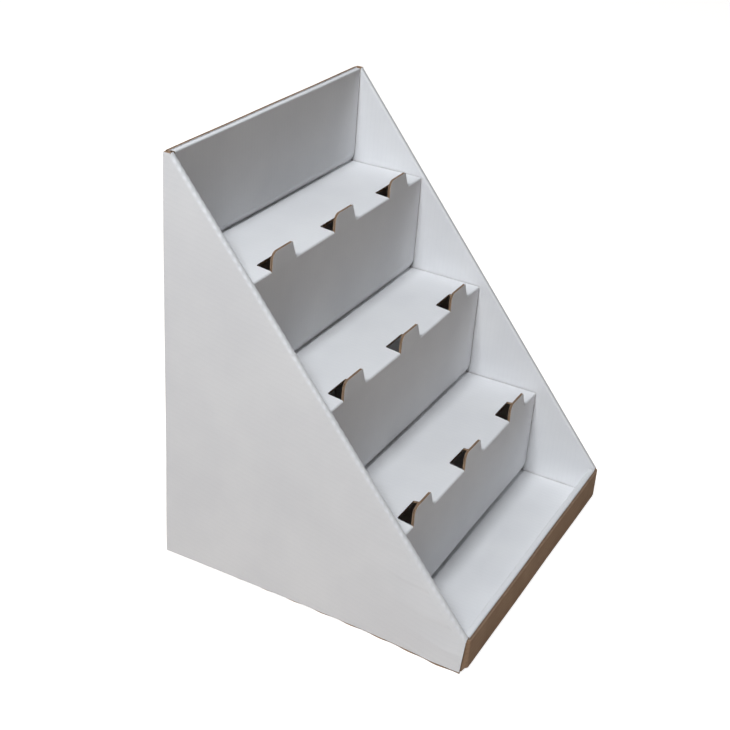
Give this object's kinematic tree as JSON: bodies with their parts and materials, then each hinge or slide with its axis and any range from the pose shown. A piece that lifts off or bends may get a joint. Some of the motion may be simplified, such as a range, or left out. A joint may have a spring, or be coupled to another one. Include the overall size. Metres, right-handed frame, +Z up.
{
  "type": "stepped counter display stand",
  "caption": "Folded corrugated board counter stand with tiered shelves, cut-out product stops, sloped side walls and a low front lip.",
  "frame": {"origin": "middle of the footprint, on the surface that the stand rests on", "axes": "+X to the right across the width, -Y out of the front over the low lip, +Z up"},
  "size_m": [0.214, 0.207, 0.26],
  "materials": {
    "tray_board": "matt corrugated board, white liner inside and on the outer side panels, brown kraft liner on the lip, back and base",
    "insert_board": "matt corrugated board, white liner on every face that shows, brown kraft liner underneath"
  },
  "bodies": {
    "root": {"display_tray": "tray_board", "step_insert": "insert_board"}
  },
  "joints": []
}
